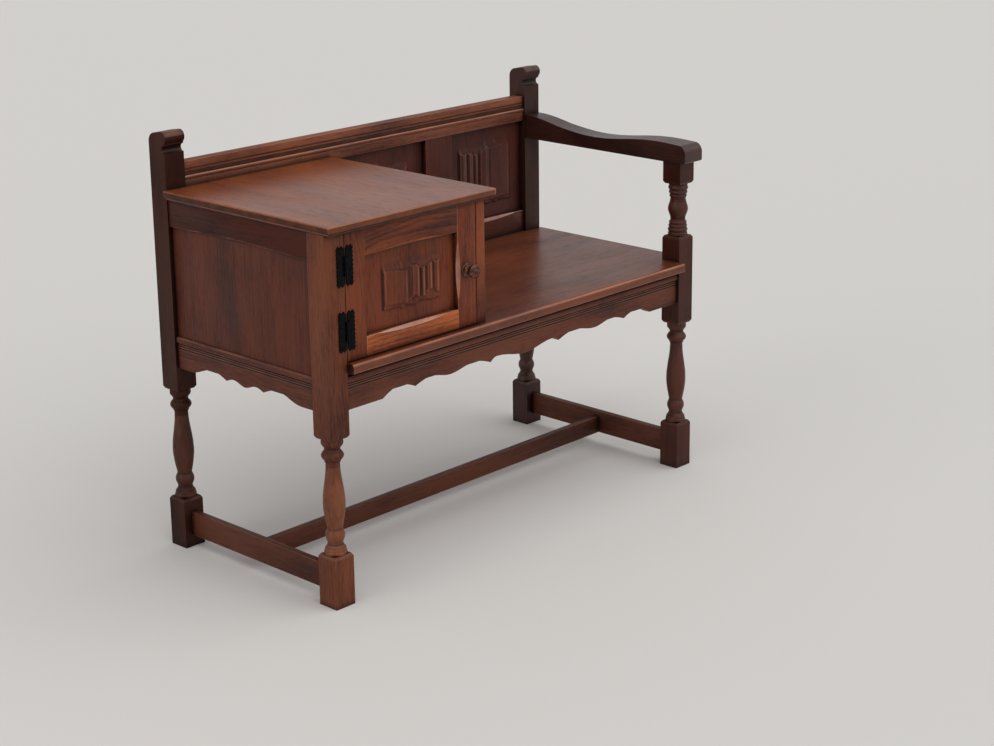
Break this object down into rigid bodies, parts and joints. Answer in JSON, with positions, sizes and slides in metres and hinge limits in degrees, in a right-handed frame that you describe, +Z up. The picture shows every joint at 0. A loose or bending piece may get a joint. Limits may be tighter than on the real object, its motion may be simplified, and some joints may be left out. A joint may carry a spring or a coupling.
{
  "type": "telephone bench",
  "caption": "Oak telephone bench with turned legs, a scalloped apron, a carved panelled back, one arm and a small door cupboard.",
  "frame": {"origin": "centre of the bench's footprint, on the floor", "axes": "+X toward the arm, -Y toward the front, +Z up"},
  "size_m": [1.0134, 0.494, 0.801],
  "materials": {
    "frame_oak": "dark red-brown stained oak, semi-gloss",
    "board_oak": "dark red-brown stained oak boards, polished",
    "panel_oak": "dark stained oak panels, semi-gloss",
    "door_oak": "warm brown stained oak, semi-gloss",
    "plain_wood": "unstained wood",
    "black_iron": "black iron, hammered",
    "knob_brass": "antique brown brass",
    "plate_steel": "plain steel",
    "catch_plastic": "cream plastic"
  },
  "bodies": {
    "frame": {"post_front_left": "frame_oak", "post_front_right": "frame_oak", "post_back_left": "frame_oak", "post_back_right": "frame_oak", "side_stretcher_left": "frame_oak", "side_stretcher_right": "frame_oak", "long_stretcher": "frame_oak", "apron_front": "frame_oak", "apron_left": "frame_oak", "apron_right": "frame_oak", "apron_back": "frame_oak", "corner_block_front_left": "plain_wood", "corner_block_front_right": "plain_wood", "corner_block_back_left": "plain_wood", "corner_block_back_right": "plain_wood", "seat_board": "board_oak", "back_top_rail": "frame_oak", "back_bottom_rail": "frame_oak", "muntin_cupboard": "frame_oak", "muntin_middle": "frame_oak", "back_panel_plain": "panel_oak", "back_panel_left": "panel_oak", "back_panel_right": "panel_oak", "arm": "board_oak", "cupboard_left_rail": "frame_oak", "cupboard_left_panel": "panel_oak", "cupboard_front_stile": "door_oak", "cupboard_rear_stile": "frame_oak", "cupboard_side_top_rail": "frame_oak", "cupboard_side_bottom_rail": "frame_oak", "cupboard_side_panel": "panel_oak", "cupboard_front_rail": "frame_oak", "cupboard_top": "board_oak", "post_leaf_upper": "black_iron", "post_leaf_lower": "black_iron", "hinge_pin_upper": "black_iron", "hinge_pin_lower": "black_iron", "nails_post": "black_iron", "catch_body": "catch_plastic"},
    "door": {"door_hinge_stile": "door_oak", "door_knob_stile": "door_oak", "door_top_rail": "door_oak", "door_bottom_rail": "door_oak", "door_panel": "panel_oak", "door_knob": "knob_brass", "door_leaf_upper": "black_iron", "door_leaf_lower": "black_iron", "nails_door": "black_iron", "catch_strike": "plate_steel"}
  },
  "joints": [
    {"name": "door_hinge", "type": "hinge", "parent": "frame", "child": "door", "pos_m": [-0.454, -0.2233, 0.56], "axis": [0, 0, -1], "range_deg": [0, 170]}
  ]
}
